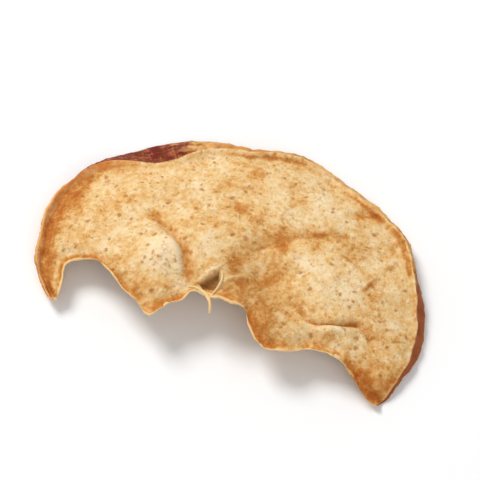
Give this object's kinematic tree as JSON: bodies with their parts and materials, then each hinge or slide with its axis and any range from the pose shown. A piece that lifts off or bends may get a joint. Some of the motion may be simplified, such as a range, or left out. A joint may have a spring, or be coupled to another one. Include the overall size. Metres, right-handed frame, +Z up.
{
  "type": "dried apple chip",
  "caption": "A dried apple chip: a warped half slice with pale speckled flesh, an uneven cut edge round its core and a thin red and golden skin rim, lying face up.",
  "frame": {"origin": "bottom centre of the chip's box, on the surface that it lies on", "axes": "+X from tip to tip along the cut edge, +Y from the core towards the skin rim, +Z up out of the shown face"},
  "size_m": [0.0632, 0.0404, 0.0095],
  "materials": {
    "dried_apple": "dry matt fruit flesh, cream to golden, with brown specks, a browned cut edge and a band of dried red and golden skin"
  },
  "bodies": {
    "root": {"apple_chip": "dried_apple"}
  },
  "joints": []
}
